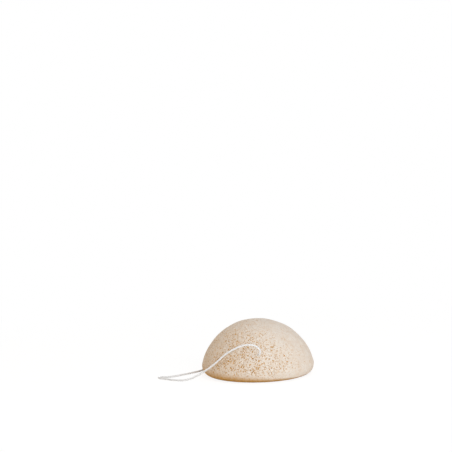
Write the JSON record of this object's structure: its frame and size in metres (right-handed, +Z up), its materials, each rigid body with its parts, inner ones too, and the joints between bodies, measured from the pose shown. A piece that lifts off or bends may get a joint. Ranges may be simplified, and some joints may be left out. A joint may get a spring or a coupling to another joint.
{
  "type": "konjac sponge",
  "caption": "Half-ball konjac facial sponge with a flat underside and a rounded rim, and a white cotton string led through it and tied into a loop for hanging.",
  "frame": {"origin": "middle of the sponge's flat underside", "axes": "+Z up through the crown; -Y is the front, where the string comes out of the dome; the loop lies towards -X"},
  "size_m": [0.1105, 0.0827, 0.039],
  "materials": {
    "konjac_foam": "matte",
    "cotton_string": "matte"
  },
  "bodies": {
    "sponge": {"sponge_body": "konjac_foam"},
    "string": {"threaded_string": "cotton_string", "hanging_loop": "cotton_string", "string_knot": "cotton_string", "knot_tails": "cotton_string"}
  },
  "joints": [
    {"name": "loop_swing", "type": "hinge", "parent": "sponge", "child": "string", "pos_m": [0.001, 0, 0.0196], "axis": [0, 1, 0], "range_deg": [0, 180]}
  ]
}
